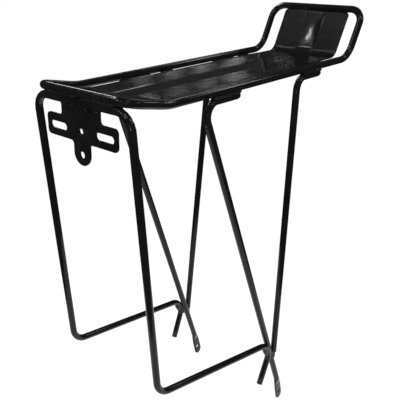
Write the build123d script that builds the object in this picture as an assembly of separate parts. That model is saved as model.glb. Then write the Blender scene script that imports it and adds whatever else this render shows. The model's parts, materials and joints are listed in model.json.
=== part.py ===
from build123d import *
import os
from math import acos, atan2, cos, radians, sin, tan

# Rear carrier for a bicycle, welded up from round steel bar and two pressed sheet plates.
# Frame: +X to the rear of the bicycle, +Y to its right side, +Z up, and the two halves mirror
# about Y = 0. The origin is on the front face of the mounting plate, midway between its slots.

# ---- driving dimensions, mm ----
BAR_D = 8.0                # round bar used for every frame member
BAR_R = BAR_D / 2
SHEET = 1.2                # deck sheet
PLATE_T = 2.0              # mounting plate

# top frame: one closed loop, level rails, front end kicked up, rear end turned up as a backstop
RAIL_Y = 61.9              # half distance between rail centres
RAIL_Z = 25.2              # height of the level rails above the origin
FRONT_X = 1.0              # front cross bar, above the cross bar of the front hoop
KICK_X = 48.5              # where the rails start to rise towards the front
KICK_RISE = 9.2            # rise of the front cross bar above the rails
KICK_BEND_R = 90.0
BACK_X = 369.8             # where the line of the backstop meets the line of the rails
BACK_LEAN = radians(25.4)  # backstop leans to the rear by this much from upright
BACK_H = 52.4              # height of the backstop bar above the rails
BACK_BEND_R = 26.5
BACK_CORNER_R = 16.0
FRONT_CORNER_R = 15.5

# front hoop: cross bar, two front legs, two lower rails, two cut feet, all one bar
HOOP_Z = RAIL_Z + KICK_RISE - BAR_D
HOOP_TOP_Y = 63.7
HOOP_TOP_R = 16.5
LEG_BOTTOM = (28.3, 69.9, -281.3)      # corner between front leg and lower rail, right side
LOWER_REAR = (241.6, 77.5, -321.0)     # corner between lower rail and cut foot, right side
CUT_FOOT = (220.2, 77.0, -379.1)       # middle of the cut face, right side
LEG_BOTTOM_R = 22.0
LOWER_REAR_R = 23.0

# middle and rear legs, right side; their tops turn back as a tab along the rail
WELD_SINK = 0.2            # depth by which a tab runs into the rail above it
TAB_Z = RAIL_Z - BAR_D + WELD_SINK
MIDDLE_TOP_X = 95.6
MIDDLE_TAB_X = 152.0
REAR_TOP_X = 259.0
REAR_TAB_X = 304.9
TAB_BEND_R = 14.0
TAB_TIP_R = 2.6
MIDDLE_FOOT = (266.3, 75.9, -397.4)    # where the round bar ends and the flattened foot starts
REAR_FOOT = (248.6, 76.4, -342.2)      # end of the rear leg, against the middle leg
PADDLE_W = 13.6            # the foot of the bar is pressed flat to this width and thickness
PADDLE_T = 2.2
PADDLE_NECK = 11.0         # length of the change from round to flat
PADDLE_LEN = 33.0          # flat stretch
PADDLE_TILT = radians(17.3)
PADDLE_TAPER = 8.0         # length over which a flat stretch reaches its full width
PADDLE_SHOULDER = 0.5      # and how much narrower it starts, each side
PADDLE_BEVEL = 5.0         # cropped corners at the tip
PADDLE_EDGE_R = 2.0
EYE_FROM_TIP = 15.0
EYE_D = 5.5                # clearance hole for an M5 bolt

# mounting plate
WING_HALF = 48.8
WING_TOP = 11.0
WING_BOTTOM = -10.3
NECK_HALF = 26.6
TONGUE_HALF = 11.4
TONGUE_BOTTOM = -32.4
PLATE_CORNER_R = 4.5
PLATE_INNER_R = 3.5
SLOT_INNER_Y = 20.3
SLOT_OUTER_Y = 43.8
SLOT_H = 7.0
CENTRE_HOLE_D = 5.4
TONGUE_HOLE_D = 6.6
TONGUE_HOLE_Z = -22.1

# deck plate: one pressed sheet from the front cross bar to the backstop bar
DECK_HALF = 46.6
PANEL_HALF = 44.6          # the backstop end of the sheet is a little narrower
NARROW_X = 318.0           # where the sheet starts to narrow
NARROWED_X = 343.0         # where it has its backstop width
DECK_BEND_R = 13.0
BAND_INNER = 13.6          # ribbed bands run between these two half widths
RIBS = 8
RIB_PITCH = 3.6
RIB_FIRST = 15.2
RIB_H = 0.5
RIB_TOP_HALF = 0.3         # half width of the flat on a rib
RIB_FOOT_HALF = 1.3        # half width of a rib at its foot
CHANNEL_DEPTH = 0.6        # smooth channel along the middle, below the ribbed bands
HEM_DROP = 2.2             # outer edges turn down by this much
HEM_FLAT = 1.1             # flat along the top of a hem
HEM_BEVEL = 0.8            # bevel that stands for the bend into the hem
PANEL_CLIP = 4.0

# straps under the deck plate
STRAP_W = 16.0
STRAP_T = 2.5
STRAP_X = (176.0, 322.0)
STRAP_HALF = 59.8

BITE = 0.3                 # depth by which welded edges run into the bar they meet


def unit(v):
    return v * (1.0 / v.length)


def bent_path(points, radii, closed=False):
    """Straight runs joined by tangent arcs, one radius per inner corner."""
    pts = [Vector(*p) for p in points]
    count = len(pts)
    corners = range(count) if closed else range(1, count - 1)
    starts, ends, arcs = {}, {}, {}
    for i in corners:
        before = unit(pts[i] - pts[i - 1])
        after = unit(pts[(i + 1) % count] - pts[i])
        half = acos(max(-1.0, min(1.0, before.dot(after)))) / 2
        radius = radii[i] if closed else radii[i - 1]
        reach = radius * tan(half)
        inward = unit(after - before)
        starts[i] = pts[i] - before * reach
        ends[i] = pts[i] + after * reach
        middle = pts[i] + inward * (radius / cos(half) - radius)
        arcs[i] = ThreePointArc(starts[i], middle, ends[i])
    edges = []
    runs = count if closed else count - 1
    for i in range(runs):
        nxt = (i + 1) % count
        edges.append(Line(ends.get(i, pts[i]), starts.get(nxt, pts[nxt])))
        if nxt in arcs:
            edges.append(arcs[nxt])
    return Wire(edges)


def bar_along(path, radius=BAR_R):
    start = Plane(origin=path @ 0, z_dir=path % 0)
    return sweep(start * Circle(radius), path=path)


def mirrored(part, side):
    return part if side > 0 else mirror(part, about=Plane.XZ)


def backstop_point(height):
    """Point of the backstop plane at a height above the rails."""
    return BACK_X + height * tan(BACK_LEAN), RAIL_Z + height


def top_frame():
    top_x, top_z = backstop_point(BACK_H)
    front_z = RAIL_Z + KICK_RISE
    points = [
        (FRONT_X, -RAIL_Y, front_z),
        (KICK_X, -RAIL_Y, RAIL_Z),
        (BACK_X, -RAIL_Y, RAIL_Z),
        (top_x, -RAIL_Y, top_z),
        (top_x, RAIL_Y, top_z),
        (BACK_X, RAIL_Y, RAIL_Z),
        (KICK_X, RAIL_Y, RAIL_Z),
        (FRONT_X, RAIL_Y, front_z),
    ]
    half = [FRONT_CORNER_R, KICK_BEND_R, BACK_BEND_R, BACK_CORNER_R]
    return bar_along(bent_path(points, half + half[::-1], closed=True))


def front_hoop():
    right = [
        CUT_FOOT,
        LOWER_REAR,
        LEG_BOTTOM,
        (FRONT_X, HOOP_TOP_Y, HOOP_Z),
    ]
    left = [(x, -y, z) for x, y, z in right[::-1]]
    radii = [LOWER_REAR_R, LEG_BOTTOM_R, HOOP_TOP_R]
    return bar_along(bent_path(right + left, radii + radii[::-1]))


def rounded_tip(point, direction):
    """Trims a bar end to a blunt nose."""
    plane = Plane(origin=point, z_dir=direction)
    nose = plane * Cylinder(BAR_R, 2 * TAB_TIP_R, align=(Align.CENTER, Align.CENTER, Align.MIN))
    return fillet(nose.edges().group_by(Axis(plane.origin, plane.z_dir))[-1], TAB_TIP_R)


def tabbed_leg(tab_x, top_x, foot):
    """Bar with its upper end turned back under the rail, right side."""
    tab_end = (tab_x - 2 * TAB_TIP_R, RAIL_Y, TAB_Z)
    path = bent_path([tab_end, (top_x, RAIL_Y, TAB_Z), foot], [TAB_BEND_R])
    return bar_along(path) + rounded_tip(tab_end, (1, 0, 0))


def paddle():
    """Flattened foot of a middle leg with its bolt hole, right side."""
    axis = Vector(sin(PADDLE_TILT), 0, -cos(PADDLE_TILT))
    leg_dir = unit(Vector(*MIDDLE_FOOT) - Vector(MIDDLE_TOP_X, RAIL_Y, TAB_Z))
    neck_start = Vector(*MIDDLE_FOOT)
    flat_start = neck_start + axis * PADDLE_NECK
    round_end = Plane(origin=neck_start, x_dir=(0, 1, 0), z_dir=leg_dir) * Circle(BAR_R)
    start_w = PADDLE_W - 2 * PADDLE_SHOULDER
    flat_end = Plane(origin=flat_start, x_dir=(0, 1, 0), z_dir=axis) * RectangleRounded(
        PADDLE_T, start_w, 0.49 * PADDLE_T
    )
    neck = loft([round_end, flat_end])
    sheet = Plane(origin=flat_start, x_dir=axis, z_dir=(0, 1, 0))
    half = PADDLE_W / 2
    edge = [
        (0, start_w / 2),
        (PADDLE_TAPER, half),
        (PADDLE_LEN - PADDLE_BEVEL, half),
        (PADDLE_LEN, half - PADDLE_BEVEL),
    ]
    outline = Polyline(*edge, *[(x, -y) for x, y in edge[::-1]], close=True)
    flat = extrude(sheet * make_face(outline), PADDLE_T / 2, both=True)
    flat = fillet(flat.edges().filter_by(Axis.Y), PADDLE_EDGE_R)
    eye = sheet * Pos(PADDLE_LEN - EYE_FROM_TIP, 0, 0) * Cylinder(EYE_D / 2, 4 * PADDLE_T)
    return neck + flat - eye


def middle_leg():
    return tabbed_leg(MIDDLE_TAB_X, MIDDLE_TOP_X, MIDDLE_FOOT) + paddle()


def rear_leg():
    down = Vector(*REAR_FOOT) - Vector(REAR_TOP_X, RAIL_Y, TAB_Z)
    return tabbed_leg(REAR_TAB_X, REAR_TOP_X, REAR_FOOT) + rounded_tip(REAR_FOOT, down)


def at_corner(vertex, half_width, height):
    return abs(abs(vertex.X) - half_width) < 0.01 and abs(vertex.Y - height) < 0.01


def mounting_plate():
    """T-shaped plate under the cross bar of the front hoop."""
    top = HOOP_Z - BAR_R + BITE
    wing_h = WING_TOP - WING_BOTTOM
    wings = Pos(0, (WING_TOP + WING_BOTTOM) / 2) * RectangleRounded(2 * WING_HALF, wing_h, PLATE_CORNER_R)
    neck = Pos(0, top / 2) * Rectangle(2 * NECK_HALF, top)
    tip_z = TONGUE_BOTTOM + TONGUE_HALF
    tongue = Pos(0, tip_z / 2) * Rectangle(2 * TONGUE_HALF, -tip_z)
    outline = wings + neck + tongue + Pos(0, tip_z) * Circle(TONGUE_HALF)
    inner = [v for v in outline.vertices() if at_corner(v, NECK_HALF, WING_TOP)]
    inner += [v for v in outline.vertices() if at_corner(v, TONGUE_HALF, WING_BOTTOM)]
    outline = fillet(inner, PLATE_INNER_R)
    slot_mid = (SLOT_INNER_Y + SLOT_OUTER_Y) / 2
    slot = SlotOverall(SLOT_OUTER_Y - SLOT_INNER_Y, SLOT_H)
    outline -= Pos(-slot_mid, 0) * slot + Pos(slot_mid, 0) * slot
    outline -= Circle(CENTRE_HOLE_D / 2) + Pos(0, TONGUE_HOLE_Z) * Circle(TONGUE_HOLE_D / 2)
    return extrude(Plane.YZ * outline, PLATE_T)


def deck_level(half_width):
    """Height of the sheet's upper face over the rail centres, by distance from the middle."""
    return -CHANNEL_DEPTH - RIB_H if half_width < BAND_INNER else -RIB_H


def deck_outline():
    """Upper line of the pressed section, from the middle to the hem's top on the right."""
    channel_edge = BAND_INNER - RIB_TOP_HALF
    line = [
        (0.0, deck_level(0.0)),
        (channel_edge - RIB_H, deck_level(0.0)),
        (channel_edge, deck_level(DECK_HALF)),
    ]
    for i in range(RIBS):
        y = RIB_FIRST + i * RIB_PITCH
        line += [(y - RIB_FOOT_HALF, -RIB_H), (y - RIB_TOP_HALF, 0.0)]
        line += [(y + RIB_TOP_HALF, 0.0), (y + RIB_FOOT_HALF, -RIB_H)]
    return line + [(DECK_HALF - HEM_BEVEL - HEM_FLAT, 0.0)]


def deck_section():
    """Closed section of the sheet: the upper line, and the same line a sheet thickness below."""
    upper = deck_outline()
    lower = [(y, z - SHEET) for y, z in upper[:-1]]
    upper += [(DECK_HALF - HEM_BEVEL, 0.0), (DECK_HALF, -HEM_BEVEL), (DECK_HALF, -HEM_DROP)]
    inside = DECK_HALF - SHEET
    lower += [(inside - HEM_BEVEL, -SHEET), (inside, -SHEET - HEM_BEVEL), (inside, -HEM_DROP)]
    upper_left = [(-y, z) for y, z in upper[1:]]
    lower_left = [(-y, z) for y, z in lower[1:]]
    ring = upper_left[::-1] + upper + lower[::-1] + lower_left
    return make_face(Polyline(*ring, close=True))


def deck_plate():
    kick = atan2(KICK_RISE, KICK_X - FRONT_X)
    start_x = FRONT_X + BAR_R - BITE
    start_z = RAIL_Z + (KICK_X - start_x) * tan(kick)
    end_x, end_z = backstop_point(BACK_H - (BAR_R - BITE) * cos(BACK_LEAN))
    path = bent_path(
        [(start_x, 0, start_z), (KICK_X, 0, RAIL_Z), (BACK_X, 0, RAIL_Z), (end_x, 0, end_z)],
        [KICK_BEND_R, DECK_BEND_R],
    )
    start = Plane(origin=path @ 0, x_dir=(0, 1, 0), z_dir=path % 0)
    sheet = sweep(start * deck_section(), path=path)
    return sheet - side_trims() - corner_clips()


def side_trims():
    """Wedges that take the sheet from its deck width to its backstop width."""
    wide = DECK_HALF + 1
    rear = BACK_X + BACK_H
    edge = [(NARROW_X, DECK_HALF), (NARROWED_X, PANEL_HALF), (rear, PANEL_HALF)]
    outline = make_face(Polyline(*edge, (rear, wide), (NARROW_X, wide), close=True))
    right = Pos(0, 0, RAIL_Z - BACK_H) * extrude(outline, 3 * BACK_H)
    return right + mirror(right, about=Plane.XZ)


def corner_clips():
    """Bevels at the two upper corners of the backstop panel."""
    clips = []
    top_x, top_z = backstop_point(BACK_H - BAR_R)
    for side in (-1, 1):
        wedge = Plane(origin=(top_x, side * PANEL_HALF, top_z), x_dir=(0, 1, 0), z_dir=(-1, 0, 0))
        clips.append(wedge * Rot(0, 0, 45) * Box(PANEL_CLIP, PANEL_CLIP, BACK_H))
    return clips[0] + clips[1]


def deck_strap(x):
    """Flat strap from rail to rail that carries the deck sheet."""
    top = RAIL_Z + deck_level(0.0) - SHEET
    return Pos(x, 0, top - STRAP_T / 2) * Box(STRAP_W, 2 * STRAP_HALF, STRAP_T)


def main():
    os.makedirs("parts", exist_ok=True)
    frame = top_frame()
    middle = middle_leg()
    rear = rear_leg() - middle
    hoop = front_hoop()
    nodes = {
        "top_frame": frame,
        "front_hoop": hoop - frame - middle - mirror(middle, about=Plane.XZ),
        "deck_plate": deck_plate() - frame,
        "mounting_plate": mounting_plate() - hoop,
    }
    for name, side in (("left", -1), ("right", 1)):
        nodes["middle_leg_" + name] = mirrored(middle, side) - frame
        nodes["rear_leg_" + name] = mirrored(rear, side) - frame
    for name, x in zip(("front", "rear"), STRAP_X):
        nodes["deck_strap_" + name] = deck_strap(x) - frame
    for name, part in nodes.items():
        part.label = name
        export_step(part, f"parts/{name}.step")


main()
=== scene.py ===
import json
from math import acos, atan2, cos, exp, pi, radians, sin, sqrt, tan

import bmesh
import bpy
from mathutils import Matrix, Vector

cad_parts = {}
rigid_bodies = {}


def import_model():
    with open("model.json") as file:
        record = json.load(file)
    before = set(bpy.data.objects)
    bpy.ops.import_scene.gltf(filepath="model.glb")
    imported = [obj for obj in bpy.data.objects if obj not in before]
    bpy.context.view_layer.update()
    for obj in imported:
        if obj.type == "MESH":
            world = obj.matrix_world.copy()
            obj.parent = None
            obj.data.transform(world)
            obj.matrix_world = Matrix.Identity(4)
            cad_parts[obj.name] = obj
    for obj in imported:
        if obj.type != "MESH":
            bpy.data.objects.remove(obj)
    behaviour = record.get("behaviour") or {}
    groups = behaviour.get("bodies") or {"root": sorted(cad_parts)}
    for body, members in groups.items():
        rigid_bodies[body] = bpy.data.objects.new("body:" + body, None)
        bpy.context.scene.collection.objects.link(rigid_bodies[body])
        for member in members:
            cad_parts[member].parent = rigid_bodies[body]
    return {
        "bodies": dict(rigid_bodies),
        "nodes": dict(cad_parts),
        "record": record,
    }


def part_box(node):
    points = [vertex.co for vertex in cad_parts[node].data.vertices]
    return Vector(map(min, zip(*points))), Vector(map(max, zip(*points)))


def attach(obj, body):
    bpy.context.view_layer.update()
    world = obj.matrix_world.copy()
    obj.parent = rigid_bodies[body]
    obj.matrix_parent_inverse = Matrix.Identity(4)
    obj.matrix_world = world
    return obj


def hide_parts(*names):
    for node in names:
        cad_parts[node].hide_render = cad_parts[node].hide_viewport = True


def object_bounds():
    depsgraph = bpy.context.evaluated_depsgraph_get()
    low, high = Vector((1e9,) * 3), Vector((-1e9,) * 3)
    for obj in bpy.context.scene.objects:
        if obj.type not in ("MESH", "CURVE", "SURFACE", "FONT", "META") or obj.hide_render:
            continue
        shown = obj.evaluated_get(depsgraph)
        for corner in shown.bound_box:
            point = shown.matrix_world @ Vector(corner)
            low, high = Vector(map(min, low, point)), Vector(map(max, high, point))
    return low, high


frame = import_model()

# Looks of the bicycle carrier. Metres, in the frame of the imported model: +X to the rear of the
# bicycle, +Y to its right side, +Z up, and the two halves mirror about Y = 0.

CAD_BOX = [list(corner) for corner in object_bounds()]
MOUNTS = {mount["name"]: mount for mount in frame["record"]["mounts"]}

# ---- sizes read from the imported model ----
TOP_LOW, TOP_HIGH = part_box("top_frame")
HOOP_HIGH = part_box("front_hoop")[1]
MIDDLE_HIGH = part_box("middle_leg_right")[1]
REAR_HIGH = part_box("rear_leg_right")[1]
DECK_LOW, DECK_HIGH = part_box("deck_plate")
PLATE_LOW, PLATE_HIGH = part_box("mounting_plate")

BAR_R = 0.004
BAR_SKIN = 0.00398                     # bars of many facets stay inside their round
RAIL_Y = TOP_HIGH.y - BAR_R
RAIL_Z = TOP_LOW.z + BAR_R
FRONT_X = TOP_LOW.x + BAR_R
BACK_TOP_X = TOP_HIGH.x - BAR_R
BACK_TOP_Z = TOP_HIGH.z - BAR_R
HOOP_Z = HOOP_HIGH.z - BAR_R
TAB_Z = MIDDLE_HIGH.z - BAR_R
FRONT_Z = HOOP_Z + 2 * BAR_R           # the front cross bar lies on the hoop's cross bar

# ---- bends of the bars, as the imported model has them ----
HOOP_TOP_Y = 0.0637
HOOP_TOP_R = 0.0165
LEG_BOTTOM = Vector((0.0283, 0.0699, -0.2813))
LOWER_REAR = Vector((0.2416, 0.0775, -0.3210))
CUT_FOOT = Vector((0.2202, 0.0770, -0.3791))
LEG_BOTTOM_R = 0.022
LOWER_REAR_R = 0.023
MIDDLE_TOP_X = 0.0956
REAR_TOP_X = 0.2590
TAB_BEND_R = 0.014
TAB_TIP = 0.0052                       # length of a tab's rounded end
# where the tabs end; only the rear tab is also its leg's rearmost point
TAB_END_X = {"rear": REAR_HIGH.x, "middle": 0.1520}
MIDDLE_FOOT = Vector((0.2663, 0.0759, -0.3974))
REAR_FOOT = Vector((0.2486, 0.0764, -0.3422))
REAR_TIP = 0.003                       # rounded lower end of the rear leg
KICK_X = 0.0485
KICK_BEND_R = 0.090
BACK_X = 0.3698
DECK_BEND_R = 0.013

# ---- pressed sheet ----
SHEET = 0.0012
DECK_HALF = DECK_HIGH.y
PANEL_HALF = 0.0446
NARROW_X, NARROWED_X = 0.318, 0.343
BAND_INNER = 0.0136
RIBS = 8
RIB_PITCH = 0.0036
RIB_FIRST = 0.0152
RIB_H = 0.00030
RIB_END = 0.42                         # share of a pitch by which the ribs' run goes past the last
CHANNEL_DEPTH = 0.0006
CHANNEL_BACK = 0.0026                  # the channel's slope starts this far inside the bands
CHANNEL_SLOPE = 0.0022
RIBS_FROM_X, RIBS_FADE = 0.040, 0.035  # the ribs rise out of the flat front end here
HEM_DROP = 0.0022
HEM_BEND = 0.0013
PANEL_CLIP = 0.0028                    # cropped corners at the top of the backstop
CLIP_WIDTH = 0.004

# ---- flattened feet ----
PADDLE_TILT = radians(17.3)
PADDLE_NECK = 0.011
PADDLE_LEN = 0.0323
PADDLE_W = 0.0136
PADDLE_T = 0.0022
PADDLE_STEPS = 44
PADDLE_FIRST = 0.72                    # share of the width reached along the neck
PADDLE_ROUND = 0.9                     # how far the flat's section goes from round to square
SHOULDER_FROM, SHOULDER_RUN = 0.5, 1.4   # where it widens to the full width, in neck lengths
CROP_LEN, CROP_SHARE = 0.0058, 0.52    # narrowed tip
EDGE_LEN, EDGE_SHARE = 0.0009, 0.35    # broken edge at the tip
EYE_R = MOUNTS["foot_eye_right"]["dims"]["r_mm"] / 1000

RING = 32                              # points round a bar
ARC_STEP = radians(5)
RUN_STEP = 0.012


# ---------------------------------------------------------------- mesh helpers

def link(name, mesh):
    obj = bpy.data.objects.new(name, mesh)
    bpy.context.scene.collection.objects.link(obj)
    return obj


def mesh_from(name, points, faces):
    mesh = bpy.data.meshes.new(name)
    mesh.from_pydata([tuple(p) for p in points], [], faces)
    bm = bmesh.new()
    bm.from_mesh(mesh)
    bmesh.ops.recalc_face_normals(bm, faces=bm.faces)
    bm.to_mesh(mesh)
    bm.free()
    mesh.polygons.foreach_set("use_smooth", [True] * len(mesh.polygons))
    mesh.update()
    return link(name, mesh)


def loft(name, rings):
    """Skin over rings of equal length, capped at both ends."""
    count = len(rings[0])
    points = [p for ring in rings for p in ring]
    faces = []
    for i in range(len(rings) - 1):
        a, b = i * count, (i + 1) * count
        for j in range(count):
            k = (j + 1) % count
            faces.append((a + j, a + k, b + k, b + j))
    faces.append(tuple(range(count)))
    faces.append(tuple(range((len(rings) - 1) * count, len(rings) * count)))
    return mesh_from(name, points, faces)


def bent(corners, radii):
    """Points along straight runs joined by tangent arcs."""
    points = [corners[0].copy()]
    for i in range(1, len(corners) - 1):
        before = (corners[i] - corners[i - 1]).normalized()
        after = (corners[i + 1] - corners[i]).normalized()
        turn = acos(max(-1.0, min(1.0, before.dot(after))))
        radius = radii[i - 1]
        reach = radius * tan(turn / 2)
        start = corners[i] - before * reach
        add_run(points, start)
        inward = (after - before).normalized()
        centre = corners[i] + inward * (radius / cos(turn / 2))
        steps = max(2, round(turn / ARC_STEP))
        for k in range(1, steps + 1):
            angle = turn * k / steps
            across = (start - centre) * cos(angle) + before * radius * sin(angle)
            points.append(centre + across)
    add_run(points, corners[-1])
    return points


def add_run(points, end):
    start = points[-1]
    steps = max(1, round((end - start).length / RUN_STEP))
    points.extend(start.lerp(end, k / steps) for k in range(1, steps + 1))


def lengths(points):
    """Arc length from the start at each point."""
    total, out = 0.0, [0.0]
    for a, b in zip(points, points[1:]):
        total += (b - a).length
        out.append(total)
    return out


def frames(points, side):
    """Tangent and two cross directions at each point, carried along without twist."""
    out = []
    last = len(points) - 1
    for i in range(len(points)):
        tangent = (points[min(i + 1, last)] - points[max(i - 1, 0)]).normalized()
        side = (side - tangent * side.dot(tangent)).normalized()
        out.append((tangent, side.copy(), tangent.cross(side)))
    return out


def ring_at(centre, across, up, radius):
    """Ring round a centre; radius is a number or a function of the angle."""
    ring = []
    for j in range(RING):
        angle = 2 * pi * j / RING
        r = radius(angle) if callable(radius) else radius
        ring.append(centre + (across * cos(angle) + up * sin(angle)) * r)
    return ring


def nearest(points, spot):
    """Number of the point closest to a spot."""
    return min(range(len(points)), key=lambda i: (points[i] - spot).length)


def refined(points, spots, reach=0.016, step=0.0006):
    """The same line with closely spaced points near the given spots."""
    out = [points[0]]
    for a, b in zip(points, points[1:]):
        near = any(min((a - s).length, (b - s).length) < reach for s in spots)
        parts = max(1, round((b - a).length / step)) if near else 1
        out.extend(a.lerp(b, k / parts) for k in range(1, parts + 1))
    return out


RIPPLE_PITCH = 0.0044
RIPPLE_REACH = 0.0085
RIPPLE_DEPTH = 0.00022
HOOP_MARKS = (-0.004, 0.006)           # along the bar from a bend's middle
LEG_MARKS = (-0.003, 0.009)
CUT_EDGE = 0.0004


def bend_mark(points, corner, shift=0.0):
    """Arc length and inward direction of the bend next to a corner of the line."""
    along = lengths(points)
    at = nearest(points, corner)
    return along[at] + shift, (points[at] - corner).normalized()


def bar(name, points, side, marks=(), noses=(0.0, 0.0)):
    """Round bar along a line, with bending ripples at the marks and rounded noses at its ends."""
    along = lengths(points)
    whole = along[-1]
    rings = []
    for p, s, (tangent, across, up) in zip(points, along, frames(points, side)):
        base = BAR_SKIN * min(nose(s, noses[0]), nose(whole - s, noses[1]))

        def radius(angle, s=s, base=base, across=across, up=up):
            outward = across * cos(angle) + up * sin(angle)
            dent = 0.0
            for place, inward in marks:
                wave = 0.5 - 0.5 * cos(2 * pi * (s - place) / RIPPLE_PITCH)
                share = 0.3 + 0.7 * abs(outward.dot(inward))
                dent += RIPPLE_DEPTH * wave * share * exp(-((s - place) / RIPPLE_REACH) ** 2)
            return base - dent

        rings.append(ring_at(p, across, up, radius))
    return loft(name, rings)


def nose(distance, length):
    """Share of the full radius at a distance from the tip of a rounded nose."""
    if distance >= length:
        return 1.0
    share = 1.0 - distance / length
    return sqrt(max(0.02, 1.0 - 0.9 * share ** 2.5))


def mirrored(v, side):
    return Vector((v.x, v.y * side, v.z))


def tip_steps(points, length, count=8):
    """The line with extra points close to its start, for a rounded nose."""
    first, second = points[0], points[1]
    reach = min(length, (second - first).length * 0.9)
    extra = [first.lerp(second, reach * (k / count) ** 1.6 / (second - first).length)
             for k in range(count + 1)]
    return extra + points[1:]


def cut_edge(points, length=CUT_EDGE, count=4):
    """The line with closely spaced points at both ends, where the cut bar has a broken edge."""
    return tip_steps(tip_steps(points, length, count)[::-1], length, count)[::-1]


# ---------------------------------------------------------------- bars

def hoop_line():
    """Centre line of the front hoop, and the corners of its right half."""
    right = [CUT_FOOT, LOWER_REAR, LEG_BOTTOM, Vector((FRONT_X, HOOP_TOP_Y, HOOP_Z))]
    left = [mirrored(v, -1) for v in right[::-1]]
    radii = [LOWER_REAR_R, LEG_BOTTOM_R, HOOP_TOP_R]
    return bent(right + left, radii + radii[::-1]), right


def make_hoop():
    points, right = hoop_line()
    spots = [mirrored(right[3], side) for side in (1, -1)]
    near = [points[nearest(points, spot)] for spot in spots]
    points = cut_edge(refined(points, near, reach=0.022))
    marks = [bend_mark(points, spot, shift) for spot in spots for shift in HOOP_MARKS]
    hoop = bar("front_hoop_bar", points, Vector((1, 0, 0)), marks, noses=(CUT_EDGE, CUT_EDGE))
    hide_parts("front_hoop")
    return hoop


def tab_line(tab_x, top_x, foot, side):
    """Centre line of a leg with its tab, from the tab's tip down, and the corner between them."""
    corners = [Vector((tab_x, RAIL_Y, TAB_Z)), Vector((top_x, RAIL_Y, TAB_Z)), foot]
    corners = [mirrored(v, side) for v in corners]
    points = bent(corners, [TAB_BEND_R])
    bend = points[nearest(points, corners[1])]
    points = refined(points, [bend], reach=0.026)
    return tip_steps(points, TAB_TIP, 10), corners[1]


def leg_marks(points, corner):
    return [bend_mark(points, corner, shift) for shift in LEG_MARKS]


def superellipse(half_w, half_t, power, angle):
    c, s = cos(angle), sin(angle)
    return Vector((
        half_w * abs(c) ** (2 / power) * (1 if c >= 0 else -1),
        half_t * abs(s) ** (2 / power) * (1 if s >= 0 else -1),
    ))


def smooth(x):
    x = max(0.0, min(1.0, x))
    return x * x * (3 - 2 * x)


def paddle_rings(start, leg_dir, side):
    """Rings from the round bar to the flattened foot; wide in the plane of the leg, thin along Y."""
    axis = Vector((sin(PADDLE_TILT), 0, -cos(PADDLE_TILT)))
    thin = Vector((0, side, 0))
    total = PADDLE_NECK + PADDLE_LEN
    rings = []
    stations = [total * k / PADDLE_STEPS for k in range(1, PADDLE_STEPS)]
    stations += [total - 0.0007, total - 0.0003, total]
    for s in stations:
        flat = smooth(s / PADDLE_NECK)
        aim = (leg_dir * (1 - flat) + axis * flat).normalized()
        wide = thin.cross(aim).normalized()
        shoulder = smooth((s - SHOULDER_FROM * PADDLE_NECK) / (SHOULDER_RUN * PADDLE_NECK))
        widened = PADDLE_FIRST * flat + (1 - PADDLE_FIRST) * shoulder
        half_w = BAR_R + (PADDLE_W / 2 - BAR_R) * widened
        half_t = BAR_R + (PADDLE_T / 2 - BAR_R) * flat
        left = total - s
        crop = max(0.0, 1.0 - left / CROP_LEN)
        half_w *= 1.0 - CROP_SHARE * crop ** 1.25
        half_t *= 1.0 - EDGE_SHARE * max(0.0, 1.0 - left / EDGE_LEN) ** 2
        power = 2.0 + PADDLE_ROUND * flat
        place = start + axis * s
        ring = []
        for j in range(RING):
            q = superellipse(half_w, half_t, power, 2 * pi * j / RING)
            ring.append(place + wide * q.x + thin * q.y)
        rings.append(ring)
    return rings


def make_middle_leg(side, name):
    points, corner = tab_line(TAB_END_X["middle"], MIDDLE_TOP_X, MIDDLE_FOOT, side)
    marks = leg_marks(points, corner)
    leg = bar("leg_draft", points, Vector((0, side, 0)), marks, noses=(TAB_TIP, 0.0))
    count = len(points)
    rings = [[leg.data.vertices[i * RING + j].co.copy() for j in range(RING)] for i in range(count)]
    bpy.data.objects.remove(leg)
    leg_dir = (points[-1] - points[-2]).normalized()
    last = rings[-1]
    foot = paddle_rings(points[-1], leg_dir, side)
    foot = [matched(ring, last, points[-1]) for ring in foot]
    whole = loft("middle_leg_bar_" + name, rings + foot)
    drill(whole, Vector(MOUNTS["foot_eye_" + name]["pos_m"]), EYE_R)
    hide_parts("middle_leg_" + name)
    return whole


def matched(ring, last, centre):
    """Turns a ring's numbering so that its first point continues the bar's first point."""
    want = (last[0] - centre).normalized()
    middle = sum(ring, Vector()) / len(ring)
    start = max(range(len(ring)), key=lambda j: (ring[j] - middle).normalized().dot(want))
    turned = ring[start:] + ring[:start]
    ahead = (last[1] - last[0]).dot(turned[1] - turned[0])
    return turned if ahead > 0 else [turned[0]] + turned[:0:-1]


def drill(obj, place, radius):
    """Hole along Y with a broken edge, cut through the flattened foot."""
    flare = [(-3.0, 1.35), (-1.06, 1.12), (-0.72, 1.0), (0.72, 1.0), (1.06, 1.12), (3.0, 1.35)]
    rings = []
    for depth, share in flare:
        centre = place + Vector((0, depth * PADDLE_T / 2, 0))
        rings.append(ring_at(centre, Vector((1, 0, 0)), Vector((0, 0, 1)), radius * share))
    cutter = loft("cutter", rings)
    cut = obj.modifiers.new("eye", "BOOLEAN")
    cut.operation = "DIFFERENCE"
    cut.solver = "EXACT"
    cut.object = cutter
    bake(obj)
    bpy.data.objects.remove(cutter)
    obj.data.set_sharp_from_angle(angle=radians(38))


def bake(obj):
    """Replaces the mesh by what its modifiers make of it."""
    graph = bpy.context.evaluated_depsgraph_get()
    mesh = bpy.data.meshes.new_from_object(obj.evaluated_get(graph))
    obj.modifiers.clear()
    obj.data = mesh


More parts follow.
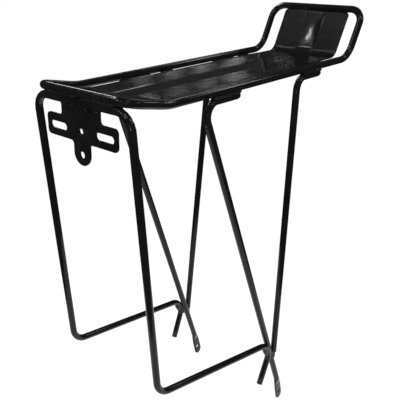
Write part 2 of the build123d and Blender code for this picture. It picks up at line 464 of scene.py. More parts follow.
def make_rear_leg(side, name):
    points, corner = tab_line(TAB_END_X["rear"], REAR_TOP_X, REAR_FOOT, side)
    marks = leg_marks(points, corner)
    points = tip_steps(points[::-1], REAR_TIP, 6)[::-1]
    leg = bar("rear_leg_bar_" + name, points, Vector((0, side, 0)), marks, noses=(TAB_TIP, REAR_TIP))
    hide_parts("rear_leg_" + name)
    return leg


# ---------------------------------------------------------------- mounting plate

PLATE_T = PLATE_HIGH.x - PLATE_LOW.x
PLATE_EDGE = 0.00035                   # broken edge of the stamped plate
WING_HALF = PLATE_HIGH.y
WING_TOP, WING_BOTTOM = 0.0110, -0.0103
NECK_HALF, TONGUE_HALF = 0.0266, 0.0114
PLATE_TOP, TONGUE_BOTTOM = PLATE_HIGH.z, PLATE_LOW.z
PLATE_CORNER_R, PLATE_INNER_R = 0.0045, 0.0035
CENTRE_HOLE_R = MOUNTS["centre_hole"]["dims"]["r_mm"] / 1000
TONGUE_HOLE_R = MOUNTS["tongue_hole"]["dims"]["r_mm"] / 1000
TONGUE_HOLE_Z = MOUNTS["tongue_hole"]["pos_m"][2]
HOLE_STEPS = 40
HALF_ROUND = 0.999                     # keeps the two bends of a half-round end just apart
SLOT_R = MOUNTS["front_slots"]["dims"]["hole_r_mm"] / 1000
SLOT_MID = MOUNTS["front_slots"]["dims"]["spacing_x_mm"] / 2000
SLOT_HALF = MOUNTS["front_slots"]["dims"]["slot_length_mm"] / 2000


def rounded(corners):
    """Closed outline from (y, z, radius) corners."""
    out = []
    count = len(corners)
    for i, (y, z, radius) in enumerate(corners):
        here = Vector((y, z))
        if radius == 0:
            out.append(here)
            continue
        before = (here - Vector(corners[i - 1][:2])).normalized()
        after = (Vector(corners[(i + 1) % count][:2]) - here).normalized()
        turn = acos(max(-1.0, min(1.0, before.dot(after))))
        reach = radius * tan(turn / 2)
        start = here - before * reach
        centre = here + (after - before).normalized() * (radius / cos(turn / 2))
        steps = max(4, round(turn / radians(9)))
        for k in range(steps + 1):
            angle = turn * k / steps
            out.append(centre + (start - centre) * cos(angle) + before * radius * sin(angle))
    return out


def plate_outline():
    right = [
        (NECK_HALF, PLATE_TOP, 0),
        (NECK_HALF, WING_TOP, PLATE_INNER_R),
        (WING_HALF, WING_TOP, PLATE_CORNER_R),
        (WING_HALF, WING_BOTTOM, PLATE_CORNER_R),
        (TONGUE_HALF, WING_BOTTOM, PLATE_INNER_R),
        (TONGUE_HALF, TONGUE_BOTTOM, TONGUE_HALF * HALF_ROUND),
    ]
    left = [(-y, z, r) for y, z, r in right[::-1]]
    return rounded(right + left)


def slot_outline(y, half, radius):
    bend = radius * HALF_ROUND
    corners = ((-half, radius), (half, radius), (half, -radius), (-half, -radius))
    return rounded([(y + across, z, bend) for across, z in corners])


def hole_outline(z, radius):
    angles = [2 * pi * k / HOLE_STEPS for k in range(HOLE_STEPS)]
    return [Vector((radius * cos(a), z + radius * sin(a))) for a in angles]


def plate_curve():
    """Flat curve of the plate with its slots and holes, thickened, with broken edges."""
    curve = bpy.data.curves.new("plate_curve", "CURVE")
    curve.dimensions = "2D"
    curve.fill_mode = "BOTH"
    curve.extrude = PLATE_T / 2 - PLATE_EDGE
    curve.bevel_depth = PLATE_EDGE
    curve.bevel_resolution = 3
    curve.offset = -PLATE_EDGE
    outlines = [plate_outline(), hole_outline(0.0, CENTRE_HOLE_R)]
    outlines.append(hole_outline(TONGUE_HOLE_Z, TONGUE_HOLE_R))
    outlines += [slot_outline(side * SLOT_MID, SLOT_HALF, SLOT_R) for side in (-1, 1)]
    for outline in outlines:
        spline = curve.splines.new("POLY")
        spline.points.add(len(outline) - 1)
        for point, v in zip(spline.points, outline):
            point.co = (v.x, v.y, 0, 1)
        spline.use_cyclic_u = True
    return curve


def make_mounting_plate():
    draft = link("plate_draft", plate_curve())
    graph = bpy.context.evaluated_depsgraph_get()
    mesh = bpy.data.meshes.new_from_object(draft.evaluated_get(graph))
    bpy.data.objects.remove(draft)
    turn = Matrix(((0, 0, 1, PLATE_T / 2), (1, 0, 0, 0), (0, 1, 0, 0), (0, 0, 0, 1)))
    mesh.transform(turn)
    bm = bmesh.new()
    bm.from_mesh(mesh)
    bmesh.ops.remove_doubles(bm, verts=bm.verts, dist=0.00001)
    bmesh.ops.recalc_face_normals(bm, faces=bm.faces)
    bm.to_mesh(mesh)
    bm.free()
    mesh.polygons.foreach_set("use_smooth", [True] * len(mesh.polygons))
    mesh.set_sharp_from_angle(angle=radians(40))
    plate = link("mounting_plate_stamped", mesh)
    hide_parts("mounting_plate")
    return plate


# ---------------------------------------------------------------- deck sheet

def rib_height(y):
    """Height of a rib over the flat ground, at a distance from the middle."""
    place = (y - RIB_FIRST) / RIB_PITCH
    rib = round(max(0, min(RIBS - 1, place)))
    off = abs(place - rib)
    return RIB_H * (0.5 + 0.5 * cos(2 * pi * min(off, 0.5)))


def rib_rise(y, swell):
    """Rib height over the nominal ground; stronger ribs press the ground down, not the tops up."""
    if swell < 1:
        return swell * rib_height(y)
    return swell * (rib_height(y) - RIB_H) + RIB_H


def deck_top(swell):
    """Upper line of the right half of the section: (distance from the middle, height)."""
    edge = BAND_INNER - CHANNEL_BACK
    line = [(edge * k / 5, -CHANNEL_DEPTH - RIB_H) for k in range(6)]
    for k in range(1, 9):
        share = k / 8
        line.append((edge + CHANNEL_SLOPE * share, -RIB_H - CHANNEL_DEPTH * (1 - smooth(share))))
    first = RIB_FIRST - RIB_PITCH * RIB_END
    last = RIB_FIRST + RIB_PITCH * (RIBS - 1 + RIB_END)
    samples = RIBS * 16
    for k in range(samples + 1):
        y = first + (last - first) * k / samples
        if y > line[-1][0] + 0.0001:
            line.append((y, -RIB_H + rib_rise(y, swell)))
    line.append((DECK_HALF - HEM_BEND - 0.0016, -RIB_H))
    line.append((DECK_HALF - HEM_BEND - 0.0008, -0.45 * RIB_H))
    return line


def hem(half, radius, drop, low):
    """Rounded outer edge turned down, from its top to its lower end."""
    out = []
    for k in range(7):
        angle = pi / 2 * k / 6
        out.append((half - radius + radius * sin(angle), low - radius + radius * cos(angle)))
    out.append((half, -drop))
    return out


def deck_section(share, swell):
    """Closed section of the sheet; share goes from 0 on the deck to 1 on the backstop."""
    half = DECK_HALF + (PANEL_HALF - DECK_HALF) * share
    drop = HEM_DROP + (SHEET + 0.0001 - HEM_DROP) * share
    limit = half - HEM_BEND - 0.0004
    top = [(min(y, limit), z) for y, z in deck_top(swell)]
    outer = hem(half, HEM_BEND, drop, 0.0)
    under = [(y, z - SHEET) for y, z in top]
    inner = hem(half - SHEET, max(0.0002, HEM_BEND - SHEET), max(drop, SHEET + 0.0002), -SHEET)
    right = top + outer + inner[::-1] + under[::-1]
    left = [(-y, z) for y, z in right[::-1]]
    return right[:-1] + left[:-1]


def deck_line():
    """Middle line of the nominal upper face, from the front cross bar to the backstop's bar."""
    start = Vector((DECK_LOW.x, 0, 0))
    kick = atan2(FRONT_Z - RAIL_Z, KICK_X - FRONT_X)
    start.z = RAIL_Z + (KICK_X - start.x) * tan(kick)
    foot = Vector((BACK_X, 0, RAIL_Z))
    lean = Vector((BACK_TOP_X - BACK_X, 0, BACK_TOP_Z - RAIL_Z)).normalized()
    top = Vector((BACK_TOP_X, 0, BACK_TOP_Z)) - lean * (BAR_R - 0.0003)
    return bent([start, Vector((KICK_X, 0, RAIL_Z)), foot, top], [KICK_BEND_R, DECK_BEND_R])


def deck_stations():
    """Points along the sheet, closer at its fold and top edge, its length, and where the fold is."""
    points = deck_line()
    whole = lengths(points)[-1]
    points, extra = points[:-1], points[-1]
    for k in range(1, 17):
        points.append(points[-1].lerp(extra, 1 / (17 - k)))
    fold = points[nearest(points, Vector((BACK_X, 0, RAIL_Z)))]
    points = refined(points, points, reach=1.0, step=0.0025)
    points = refined(points, [fold], reach=0.014)
    return points, whole, lengths(points)[nearest(points, fold)]


def clipped_side(y, clip):
    """Distance from the middle after a corner is cropped by clip."""
    start = PANEL_HALF - clip - CLIP_WIDTH
    if clip <= 0 or abs(y) <= start:
        return y
    return (start + (abs(y) - start) * CLIP_WIDTH / (CLIP_WIDTH + clip)) * (1 if y > 0 else -1)


RIB_CRIMP, CRIMP_REACH = 1.3, 0.0075
BACK_RIBS, BACK_RIBS_RUN = 0.5, 0.008


def rib_swell(x, past_fold):
    """Strength of the ribs: none at the front, full on the deck, stronger on the backstop."""
    backstop = 1.0 + BACK_RIBS * smooth(past_fold / BACK_RIBS_RUN)
    return smooth((x - RIBS_FROM_X) / RIBS_FADE) * crimp(past_fold) * backstop


def make_deck():
    points, whole, fold_s = deck_stations()
    rings = []
    for p, s, frame_at in zip(points, lengths(points), frames(points, Vector((0, 1, 0)))):
        tangent = frame_at[0]
        normal = Vector((-tangent.z, 0, tangent.x))
        share = smooth((p.x - NARROW_X) / (NARROWED_X - NARROW_X))
        clip = max(0.0, PANEL_CLIP - (whole - s))
        ring = []
        for y, z in deck_section(share, rib_swell(p.x, s - fold_s)):
            y = clipped_side(y, clip)
            dip = sheet_wave(s, y) + panel_dish(s - fold_s, y)
            ring.append(p + Vector((0, y, 0)) + normal * (z + dip))
        rings.append(ring)
    deck = loft("deck_sheet_pressed", rings)
    deck.data.set_sharp_from_angle(angle=radians(50))
    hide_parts("deck_plate")
    return deck


def crimp(s):
    """Ribs are pressed deeper where the sheet is folded up to the backstop."""
    return 1.0 + RIB_CRIMP * exp(-(s / CRIMP_REACH) ** 4)


DISH_DEPTH, DISH_UP, DISH_REACH = 0.00060, 0.033, 0.019


def panel_dish(s, y):
    """Shallow hollow in the middle of the backstop, so that its highlight is a short spot."""
    across = max(0.0, 1.0 - (y / BAND_INNER) ** 2)
    up = exp(-((s - DISH_UP) / DISH_REACH) ** 2)
    return -DISH_DEPTH * across * up


WAVE_ALONG, WAVE_SHORT, WAVE_ACROSS = 0.083, 0.047, 0.11
WAVE_LOW, WAVE_DEPTH = -0.00009, 0.00005


def sheet_wave(s, y):
    """Slight unevenness that a pressed sheet keeps; it never rises above the nominal face."""
    wave = sin(s * 2 * pi / WAVE_ALONG + 1.3) * cos(y * 2 * pi / WAVE_ACROSS)
    wave += 0.6 * sin(s * 2 * pi / WAVE_SHORT + y * 31)
    return WAVE_LOW + WAVE_DEPTH * wave


# ---------------------------------------------------------------- straps

STRAP_EDGE = 0.0006


def make_strap(which):
    low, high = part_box("deck_strap_" + which)
    bm = bmesh.new()
    bmesh.ops.create_cube(bm, size=1.0)
    bmesh.ops.scale(bm, vec=high - low, verts=bm.verts)
    bmesh.ops.translate(bm, vec=(low + high) / 2, verts=bm.verts)
    bmesh.ops.bevel(bm, geom=bm.edges[:], offset=STRAP_EDGE, segments=3, profile=0.7, affect="EDGES")
    mesh = bpy.data.meshes.new("strap")
    bm.to_mesh(mesh)
    bm.free()
    mesh.polygons.foreach_set("use_smooth", [True] * len(mesh.polygons))
    mesh.set_sharp_from_angle(angle=radians(35))
    strap = link("deck_strap_bar_" + which, mesh)
    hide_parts("deck_strap_" + which)
    return strap


# ---------------------------------------------------------------- welds

WELD_R = 0.0019
WELD_PITCH = 0.0024
WELD_STEP = 0.0005
WELD_SIDE = Vector((0.3, 0.2, 1.0))    # not along any bead, so that frames() can start from it
LOOP_R, LOOP_RIPPLE = 0.0018, 0.05     # beads round the lower junctions
LOOP_FEWEST = 8                        # a loop of so few points is too short for a bead
BEAD_FROM_X = {"middle": MIDDLE_TOP_X + 0.012, "rear": REAR_TOP_X + 0.008}
TAB_GROOVE = 0.0031                    # from the rail's middle to the bead at its side
CROSS_BEADS = (("front", FRONT_X - 0.0020), ("back", FRONT_X + 0.0021))
CROSS_FROM_Y, CROSS_TO_Y = 0.001, 0.047
SHEET_BEAD_R = 0.0013
FRONT_TACKS, FRONT_TACK_RUN, FRONT_TACK_R = (0.018, 0.038), 0.008, 0.0012
TOP_TACKS, TOP_TACK_HALF = (-0.034, -0.012, 0.012, 0.034), 0.005
PLATE_TACK_R, PLATE_TACK_OUT = 0.0016, 0.0006
# tacks along the top of the mounting plate: from y, to y, slope
PLATE_TACKS = (
    (0.026, 0.019, 0.0), (0.015, 0.008, 0.0006), (-0.004, -0.012, 0.0016), (-0.018, -0.026, 0.0),
)


def weld(name, points, radius=WELD_R, seed=0, ripple=0.16):
    """Weld bead along a line: a rippled, slightly uneven string of metal, tapered at its ends."""
    dense = [points[0]]
    for end in points[1:]:
        start = dense[-1]
        parts = max(1, round((end - start).length / WELD_STEP))
        dense.extend(start.lerp(end, k / parts) for k in range(1, parts + 1))
    along = lengths(dense)
    whole = along[-1]
    rings = []
    for p, s, (_, across, up) in zip(dense, along, frames(dense, WELD_SIDE)):
        wave = abs(sin(pi * s / WELD_PITCH + seed))
        swell = 0.06 * sin(s * 417 + seed * 2.1) + 0.04 * sin(s * 911 + seed)
        r = radius * (0.80 + ripple * wave + swell)
        r *= taper(s) * taper(whole - s)
        ring = []
        for j in range(14):
            angle = 2 * pi * j / 14
            ring.append(p + (across * cos(angle) + up * sin(angle)) * r)
        rings.append(ring)
    return loft(name, rings)


def taper(distance):
    """Share of a bead's full radius at a distance from its end."""
    return sqrt(max(0.03, min(1.0, distance / 0.003)))


def tab_weld(name, tab_x, start_x, side):
    """Bead along both sides of a tab and round its tip, in the groove under the rail."""
    z = (RAIL_Z - BAR_R + TAB_Z + BAR_R) / 2
    tip = tab_x - 0.0012
    half = ((start_x, TAB_GROOVE), (tip - 0.003, TAB_GROOVE), (tip - 0.0008, TAB_GROOVE * 0.75))
    line = [Vector((x, RAIL_Y - out, z)) for x, out in half]
    line.append(Vector((tip + 0.0004, RAIL_Y, z)))
    line += [Vector((x, RAIL_Y + out, z)) for x, out in half[::-1]]
    return weld(name, [mirrored(v, side) for v in line], seed=tab_x * 40 + side)


def crossing(a0, a, b0, b):
    """Closed lines, one or two, where the surface of one bar meets the surface of another."""
    a, b = a.normalized(), b.normalized()
    start = a.cross(b).normalized()
    other = a.cross(start)
    first, second = [], []
    steps = 120
    for k in range(steps):
        angle = 2 * pi * k / steps
        n = start * cos(angle) + other * sin(angle)
        w = (a0 + n * BAR_R - b0).cross(b)
        v = a.cross(b)
        qa, qb, qc = v.dot(v), 2 * v.dot(w), w.dot(w) - BAR_R ** 2
        disc = qb * qb - 4 * qa * qc
        if disc < 0:
            first.append(None)
            second.append(None)
            continue
        root = sqrt(disc)
        base = a0 + n * BAR_R
        first.append(base + a * ((-qb - root) / (2 * qa)))
        second.append(base + a * ((-qb + root) / (2 * qa)))
    gaps = [k for k in range(steps) if first[k] is None]
    if not gaps:
        return [first, second]
    k0 = (gaps[-1] + 1) % steps
    order = [(k0 + k) % steps for k in range(steps)]
    one = [first[k] for k in order if first[k] is not None]
    two = [second[k] for k in order if second[k] is not None]
    return [one + two[::-1]]


def loop_beads(name, loops, start, way, limit, seed):
    """Beads round a junction, kept to where the second bar really runs."""
    made = []
    for i, loop in enumerate(loops):
        line = clipped(loop, start, way.normalized(), 0.0, limit)
        if len(line) > LOOP_FEWEST:
            made.append(weld(f"{name}_{i}", line, LOOP_R, seed=seed, ripple=LOOP_RIPPLE))
    return made


def junction_welds(side, name):
    """Beads and lumps where hoop, middle leg and rear leg meet low down."""
    top = mirrored(Vector((MIDDLE_TOP_X, RAIL_Y, TAB_Z)), side)
    leg = mirrored(MIDDLE_FOOT, side) - top
    corner = mirrored(LOWER_REAR, side)
    rail = corner - mirrored(LEG_BOTTOM, side)
    loops = crossing(top, leg, corner - rail, rail)
    limit = rail.length - LOWER_REAR_R
    made = loop_beads("weld_lower_rail_" + name, loops, corner - rail, rail, limit, side)
    made.append(web("weld_web_" + name, top, leg.normalized(), side))
    made.append(crotch("weld_crotch_" + name, side))
    rear_top = mirrored(Vector((REAR_TOP_X, RAIL_Y, TAB_Z)), side)
    foot = mirrored(REAR_FOOT, side)
    rear = foot - rear_top
    made.append(toe("weld_toe_" + name, top, leg.normalized(), foot, rear.normalized()))
    loops = crossing(top, leg, rear_top, rear)
    made += loop_beads("weld_rear_leg_" + name, loops, rear_top, rear, rear.length - 0.001, side + 2)
    return made


def deck_welds(side, name):
    """Beads on the front cross bars, the straps' ends and the front edge of the sheet."""
    made = []
    z = (HOOP_Z + FRONT_Z) / 2
    for face, x in CROSS_BEADS:
        line = [Vector((x, side * CROSS_FROM_Y, z)), Vector((x, side * CROSS_TO_Y, z))]
        made.append(weld(f"weld_cross_bar_{face}_{name}", line, seed=side * 3 + x * 900))
    for which in ("front", "rear"):
        low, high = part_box("deck_strap_" + which)
        y, z = side * (high.y - 0.0004), high.z
        line = [Vector((low.x + 0.001, y, z)), Vector((high.x - 0.001, y, z))]
        made.append(weld(f"weld_strap_{which}_{name}", line, SHEET_BEAD_R, seed=side + low.x * 70))
    x = DECK_LOW.x + 0.0003
    z = deck_line()[0].z - 0.0002
    for i, y in enumerate(FRONT_TACKS):
        line = [Vector((x, side * y, z)), Vector((x, side * (y + FRONT_TACK_RUN), z))]
        made.append(weld(f"weld_deck_front_{name}_{i}", line, FRONT_TACK_R, seed=side * 2 + i))
    return made


def make_welds():
    made = []
    for side, name in ((-1, "left"), (1, "right")):
        for leg in ("middle", "rear"):
            made.append(tab_weld(f"weld_{leg}_tab_{name}", TAB_END_X[leg], BEAD_FROM_X[leg], side))
        made += junction_welds(side, name)
        made += deck_welds(side, name)
    z = HOOP_Z - BAR_R + 0.0002
    for face, x in (("front", -PLATE_TACK_OUT), ("back", PLATE_T + PLATE_TACK_OUT)):
        for i, (y0, y1, drop) in enumerate(PLATE_TACKS):
            line = [Vector((x, y0, z)), Vector((x, y1, z - drop))]
            made.append(weld(f"weld_plate_{face}_{i}", line, PLATE_TACK_R, seed=x * 500 + i))
    top = deck_line()[-1] + Vector((0.0014, 0.0, 0.0))
    for i, y in enumerate(TOP_TACKS):
        line = [top + Vector((0.0, y + end, 0.0)) for end in (-TOP_TACK_HALF, TOP_TACK_HALF)]
        made.append(weld(f"weld_deck_top_{i}", line, SHEET_BEAD_R, seed=i))
    return made


def clipped(loop, start, way, low, high):
    """Longest run of a closed line whose places along a bar lie between two limits."""
    inside = [low < (p - start).dot(way) < high for p in loop]
    if all(inside):
        return loop + loop[:1]
    if not any(inside):
        return []
    count = len(loop)
    first = next(i for i in range(count) if inside[i] and not inside[i - 1])
    run, best = [], []
    for k in range(count):
        i = (first + k) % count
        if inside[i]:
            run.append(loop[i])
        else:
            best, run = max(best, run, key=len), []
    return max(best, run, key=len)


def notch(leg_start, leg_way, side):
    """Lowest place where the hoop's bend touches the middle leg, with the ways across and down."""
    points = [mirrored(p, side) for p in hoop_line()[0]]
    points = points[:len(points) // 3]
    points = refined(points, points, reach=1.0, step=0.001)
    for i, p in enumerate(points[:-1]):
        on_leg = leg_start + leg_way * (p - leg_start).dot(leg_way)
        if (p - on_leg).length < 2 * BAR_R + 0.0008:
            down = (points[i] - points[i + 1]).normalized()
            return (p + on_leg) / 2, (on_leg - p).normalized(), down
    return points[0], Vector((1, 0, 0)), Vector((0, 0, -1))


# lumps of weld metal, half sizes: along, across, thick
CROTCH_SIZE = (0.0105, 0.0030, 0.0034)
WEB_SIZE = (0.0105, 0.0050, 0.0036)
TOE_SIZE = (0.0105, 0.0048, 0.0037)


def crotch(name, side):
    """Weld metal inside the tight bend between the hoop's lower rail and its cut foot."""
    corner = mirrored(LOWER_REAR, side)
    to_rail = (mirrored(LEG_BOTTOM, side) - corner).normalized()
    to_foot = (mirrored(CUT_FOOT, side) - corner).normalized()
    inward = (to_rail + to_foot).normalized()
    half_turn = acos(to_rail.dot(to_foot)) / 2
    bend = corner + inward * (LOWER_REAR_R / sin(half_turn) - LOWER_REAR_R)
    centre = bend + inward * (BAR_R + 0.0004)
    along = (to_foot - to_rail).normalized()
    thick = along.cross(inward).normalized()
    return pod(name, centre, along, inward, thick, CROTCH_SIZE)


def pod(name, centre, along, across, thick, size):
    """Smooth lump of metal with the given half sizes along three directions."""
    rings = []
    for k in range(21):
        t = -1 + 2 * k / 20
        share = sqrt(max(0.004, 1 - t * t))
        ring = []
        for j in range(20):
            angle = 2 * pi * j / 20
            spread = across * cos(angle) * size[1] + thick * sin(angle) * size[2]
            ring.append(centre + along * (size[0] * t) + spread * share)
        rings.append(ring)
    return loft(name, rings)


def web(name, leg_start, leg_way, side):
    """Weld metal that fills the notch where the hoop's bend and the middle leg run apart."""
    centre, across, down = notch(leg_start, leg_way, side)
    along = (down + leg_way).normalized()
    thick = along.cross(across).normalized()
    across = thick.cross(along)
    return pod(name, centre - along * 0.0030, along, across, thick, WEB_SIZE)


def toe(name, leg_start, leg_way, foot, rear_way):
    """Weld metal that runs on from the end of the rear leg down the middle leg."""
    on_leg = leg_start + leg_way * (foot - leg_start).dot(leg_way)
    along = (leg_way * 2 + rear_way).normalized()
    gap = foot - on_leg
    across = (gap - along * gap.dot(along)).normalized()
    thick = along.cross(across)
    centre = on_leg + gap * 0.5 + leg_way * 0.0015
    return pod(name, centre, along, across, thick, TOE_SIZE)


SEAM_Y = 0.021                         # butt weld that closes the loop of the top frame
SEAM_WIDTH, SEAM_RISE = 0.0016, 0.00016


def make_seam():
    rings = []
    for k in range(13):
        t = k / 12
        y = SEAM_Y + SEAM_WIDTH * (t - 0.5)
        swell = SEAM_RISE * sin(pi * t)
        centre = Vector((FRONT_X, y, FRONT_Z))

        def radius(a, swell=swell):
            return BAR_SKIN + swell * (0.5 + 0.5 * cos(a)) * (1 + 0.25 * sin(3 * a + 1))

        rings.append(ring_at(centre, Vector((1, 0, 0)), Vector((0, 0, 1)), radius))
    return loft("front_bar_butt_seam", rings)


# ---------------------------------------------------------------- materials

def noise(tree, scale, detail=2.0, roughness=0.5):
    place = tree.nodes.new("ShaderNodeTexCoord")
    made = tree.nodes.new("ShaderNodeTexNoise")
    made.inputs["Scale"].default_value = scale
    made.inputs["Detail"].default_value = detail
    made.inputs["Roughness"].default_value = roughness
    tree.links.new(place.outputs["Object"], made.inputs["Vector"])
    return made.outputs["Fac"]


def ranged(tree, value, low, high):
    """Noise stretched over a range, from its usual lowest to its usual highest value."""
    made = tree.nodes.new("ShaderNodeMapRange")
    for socket, number in (("From Min", 0.35), ("From Max", 0.65), ("To Min", low), ("To Max", high)):
        made.inputs[socket].default_value = number
    tree.links.new(value, made.inputs["Value"])
    return made.outputs["Result"]


def bump(tree, height, depth, below=None):
    made = tree.nodes.new("ShaderNodeBump")
    made.inputs["Strength"].default_value = 1.0
    made.inputs["Distance"].default_value = depth
    tree.links.new(height, made.inputs["Height"])
    if below is not None:
        tree.links.new(below, made.inputs["Normal"])
    return made.outputs["Normal"]


SPECULAR, COAT, COAT_ROUGH = 0.16, 0.15, 0.05
TINT_SCALE, SMEAR_SCALE, WAVE_SCALE, PEEL_SCALE = 55.0, 140.0, 90.0, 800.0


def enamel(name, tint, rough, peel, wave):
    """Gloss black stove enamel: orange peel, slow waviness, thin and thick places."""
    material = bpy.data.materials.new(name)
    material.use_nodes = True
    tree = material.node_tree
    shader = tree.nodes["Principled BSDF"]
    shader.inputs["Specular IOR Level"].default_value = SPECULAR
    shader.inputs["Coat Weight"].default_value = COAT
    shader.inputs["Coat Roughness"].default_value = COAT_ROUGH
    colour = tree.nodes.new("ShaderNodeValToRGB")
    colour.color_ramp.elements[0].color = (*[c * 0.75 for c in tint], 1)
    colour.color_ramp.elements[1].color = (*[c * 1.3 for c in tint], 1)
    colour.color_ramp.elements[0].position = 0.35
    colour.color_ramp.elements[1].position = 0.7
    tree.links.new(noise(tree, TINT_SCALE, 4.0), colour.inputs["Fac"])
    tree.links.new(colour.outputs["Color"], shader.inputs["Base Color"])
    smear = noise(tree, SMEAR_SCALE, 5.0, 0.6)
    tree.links.new(ranged(tree, smear, rough * 0.75, rough * 1.35), shader.inputs["Roughness"])
    slow = bump(tree, noise(tree, WAVE_SCALE, 1.0), wave)
    fine = bump(tree, noise(tree, PEEL_SCALE, 1.5), peel, slow)
    tree.links.new(fine, shader.inputs["Normal"])
    return material


# ---------------------------------------------------------------- camera, floor and light

CAMERA_AT = Vector((-0.32515, -0.40230, 0.14690))
CAMERA_YAW = radians(45.283)           # from +X towards +Y
CAMERA_DOWN = radians(27.014)
CAMERA_ROLL = radians(0.746)
CAMERA_LENS = 52.42
SENSOR = 36.0                          # millimetres, as the lens
CAMERA_CLIP = (0.01, 60.0)
# Across and up, as shares of the picture. Held small, so that the whole object still shows
# from other sides; a free fit to the photograph would take a larger shift.
CAMERA_SHIFT = (0.1500, 0.1125)


def make_camera():
    forward = Vector((
        cos(CAMERA_YAW) * cos(CAMERA_DOWN), sin(CAMERA_YAW) * cos(CAMERA_DOWN), -sin(CAMERA_DOWN),
    ))
    level = Vector((sin(CAMERA_YAW), -cos(CAMERA_YAW), 0.0))
    down = forward.cross(level)
    right = level * cos(CAMERA_ROLL) + down * sin(CAMERA_ROLL)
    up = level * sin(CAMERA_ROLL) - down * cos(CAMERA_ROLL)
    data = bpy.data.cameras.new("camera")
    data.lens = CAMERA_LENS
    data.sensor_width = SENSOR
    data.shift_x, data.shift_y = CAMERA_SHIFT
    data.clip_start, data.clip_end = CAMERA_CLIP
    camera = bpy.data.objects.new("camera", data)
    turn = Matrix((right, up, -forward)).transposed().to_4x4()
    camera.matrix_world = Matrix.Translation(CAMERA_AT) @ turn
    bpy.context.scene.collection.objects.link(camera)
    bpy.context.scene.camera = camera


FLOOR_Z = CAD_BOX[0][2] - 0.0004
PAPER_R = 0.45                         # white paper right under the object
PAPER_SHADE, PAPER_GLOW = 0.25, 0.75
SWEEP_FLAT, SWEEP_R = 3.0, 9.0
SWEEP_Z = FLOOR_Z - 0.001
SWEEP_GLOW = 1.02


def revolve(name, profile, around, steps=64):
    """Surface of revolution about a vertical line through around, from (radius, height) pairs."""
    rings = []
    for radius, height in profile:
        ring = []
        for k in range(steps):
            angle = 2 * pi * k / steps
            x, y = around[0] + radius * cos(angle), around[1] + radius * sin(angle)
            ring.append(Vector((x, y, height)))
        rings.append(ring)
    points = [p for ring in rings for p in ring]
    faces = []
    for i in range(len(rings) - 1):
        a, b = i * steps, (i + 1) * steps
        for j in range(steps):
            k = (j + 1) % steps
            faces.append((a + j, a + k, b + k, b + j))
    faces.append(tuple(range(steps)))
    return mesh_from(name, points, faces)


def paper(name, shade, glow):
    """Plain white studio paper, lit from within so that it stays even."""
    material = bpy.data.materials.new(name)
    material.use_nodes = True
    shader = material.node_tree.nodes["Principled BSDF"]
    shader.inputs["Base Color"].default_value = (shade, shade, shade, 1)
    shader.inputs["Roughness"].default_value = 1.0
    shader.inputs["Specular IOR Level"].default_value = 0.0
    shader.inputs["Emission Color"].default_value = (1, 1, 1, 1)
    shader.inputs["Emission Strength"].default_value = glow
    return material


def make_floor():
    middle = ((CAD_BOX[0][0] + CAD_BOX[1][0]) / 2, 0.0)
    near = revolve("floor_paper", [(PAPER_R * k / 6, FLOOR_Z) for k in range(1, 7)], middle)
    near.data.materials.append(paper("near_paper", PAPER_SHADE, PAPER_GLOW))
    bend = SWEEP_R - SWEEP_FLAT
    profile = [(PAPER_R * 0.98, SWEEP_Z)]
    for turn in range(0, 181, 6):
        a = radians(turn)
        profile.append((SWEEP_FLAT + bend * sin(a), SWEEP_Z + bend * (1 - cos(a))))
    sweep = revolve("studio_sweep", profile, middle)
    sweep.data.materials.append(paper("far_paper", 0.0, SWEEP_GLOW))
    sweep.visible_glossy = False
    sweep.visible_shadow = False


LAMP_FAR = 2.5                         # metres from the object to every lamp
DECK_AIM = Vector((0.14, 0.0, RAIL_Z))
FRONT_AIM = Vector((FRONT_X, 0.0, FRONT_Z))
PANEL_AIM = Vector((0.385, 0.0, 0.052))
BEND_AIM = Vector((FRONT_X, -0.058, 0.020))

# name, azimuth and height of the direction, width, height of the lamp (degrees), brightness, aim
LAMPS = [
    ("bar_lamp", 57.5, 28.0, 12.0, 6.0, 12.0, FRONT_AIM),
    ("panel_lamp", 141.0, 37.9, 2.4, 0.7, 48.0, PANEL_AIM),
    ("panel_glow", 144.0, 39.0, 8.0, 9.0, 0.6, PANEL_AIM),
    ("foot_lamp", 115.0, 45.0, 8.0, 6.0, 55.0, PANEL_AIM),
    ("foot_lamp_low", 94.0, 50.0, 6.0, 5.0, 42.0, PANEL_AIM),
    ("rib_lamp_left", 160.0, 38.0, 3.0, 18.0, 16.0, PANEL_AIM),
    ("rail_lamp", 23.0, 39.0, 34.0, 2.5, 6.0, DECK_AIM),
    ("ceiling_lamp", -130.0, 65.0, 6.0, 6.0, 30.0, BEND_AIM),
    ("left_lamp", -177.0, 32.0, 5.0, 6.0, 24.0, BEND_AIM),
    ("front_lamp", -146.0, 4.0, 5.0, 7.0, 20.0, BEND_AIM),
    ("right_lamp", -70.0, 38.0, 6.0, 6.0, 22.0, DECK_AIM),
    ("side_lamp", -24.0, 31.0, 6.0, 6.0, 14.0, DECK_AIM),
]
ROW_AZIMUTHS = (41.5, 37.0, 32.5, 28.0)
ROW_HEIGHT = 24.0                      # one row of narrow lamps behind the object
ROW_SIZE = (1.9, 3.0)
ROW_BRIGHT = 3.6
ROOM_BRIGHT = 0.035


def toward(azimuth, height):
    a, h = radians(azimuth), radians(height)
    return Vector((cos(a) * cos(h), sin(a) * cos(h), sin(h)))


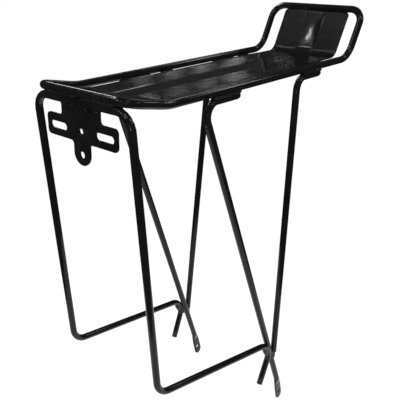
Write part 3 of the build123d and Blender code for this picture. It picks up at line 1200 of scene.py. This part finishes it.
def softbox(name, azimuth, height, wide, tall, bright, aim):
    """Rectangular lamp facing the spot it lights, its width level."""
    way = toward(azimuth, height)
    data = bpy.data.lights.new(name, "AREA")
    data.shape = "RECTANGLE"
    data.size = 2 * LAMP_FAR * tan(radians(wide / 2))
    data.size_y = 2 * LAMP_FAR * tan(radians(tall / 2))
    data.energy = bright * pi * data.size * data.size_y
    lamp = bpy.data.objects.new(name, data)
    lamp.location = aim + way * LAMP_FAR
    lamp.rotation_mode = "QUATERNION"
    lamp.rotation_quaternion = way.to_track_quat("Z", "Y")
    lamp.visible_camera = False
    bpy.context.scene.collection.objects.link(lamp)


def make_lights():
    for lamp in LAMPS:
        softbox(*lamp)
    for azimuth in ROW_AZIMUTHS:
        softbox("row_lamp", azimuth, ROW_HEIGHT, *ROW_SIZE, ROW_BRIGHT, DECK_AIM)
    world = bpy.data.worlds.new("room")
    world.use_nodes = True
    background = world.node_tree.nodes["Background"]
    background.inputs["Color"].default_value = (1, 1, 1, 1)
    background.inputs["Strength"].default_value = ROOM_BRIGHT
    bpy.context.scene.world = world
    bpy.context.scene.view_settings.view_transform = "Standard"


BLACK = (0.005, 0.005, 0.0054)
BEAD_BLACK = (0.006, 0.006, 0.0064)


def dress(pieces, material):
    """Gives pieces of the one rigid body their enamel and slot."""
    for piece in pieces:
        piece.data.materials.clear()
        piece.data.materials.append(material)
        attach(piece, next(iter(frame["bodies"])))


def main():
    make_camera()
    bar_black = enamel("bar_black", BLACK, rough=0.12, peel=0.0000015, wave=0.00002)
    sheet_black = enamel("sheet_black", BLACK, rough=0.10, peel=0.0000015, wave=0.00003)
    weld_black = enamel("weld_black", BEAD_BLACK, rough=0.18, peel=0.000003, wave=0.00004)
    bars = [make_hoop(), make_seam()]
    sheets = [make_mounting_plate(), make_deck()]
    for side, name in ((-1, "left"), (1, "right")):
        bars += [make_middle_leg(side, name), make_rear_leg(side, name)]
    sheets += [make_strap(which) for which in ("front", "rear")]
    welds = make_welds()
    dress(bars, bar_black)
    dress(sheets, sheet_black)
    dress(welds, weld_black)
    for piece in frame["nodes"].values():
        piece.data.materials.clear()
        piece.data.materials.append(bar_black)
    make_floor()
    make_lights()


main()
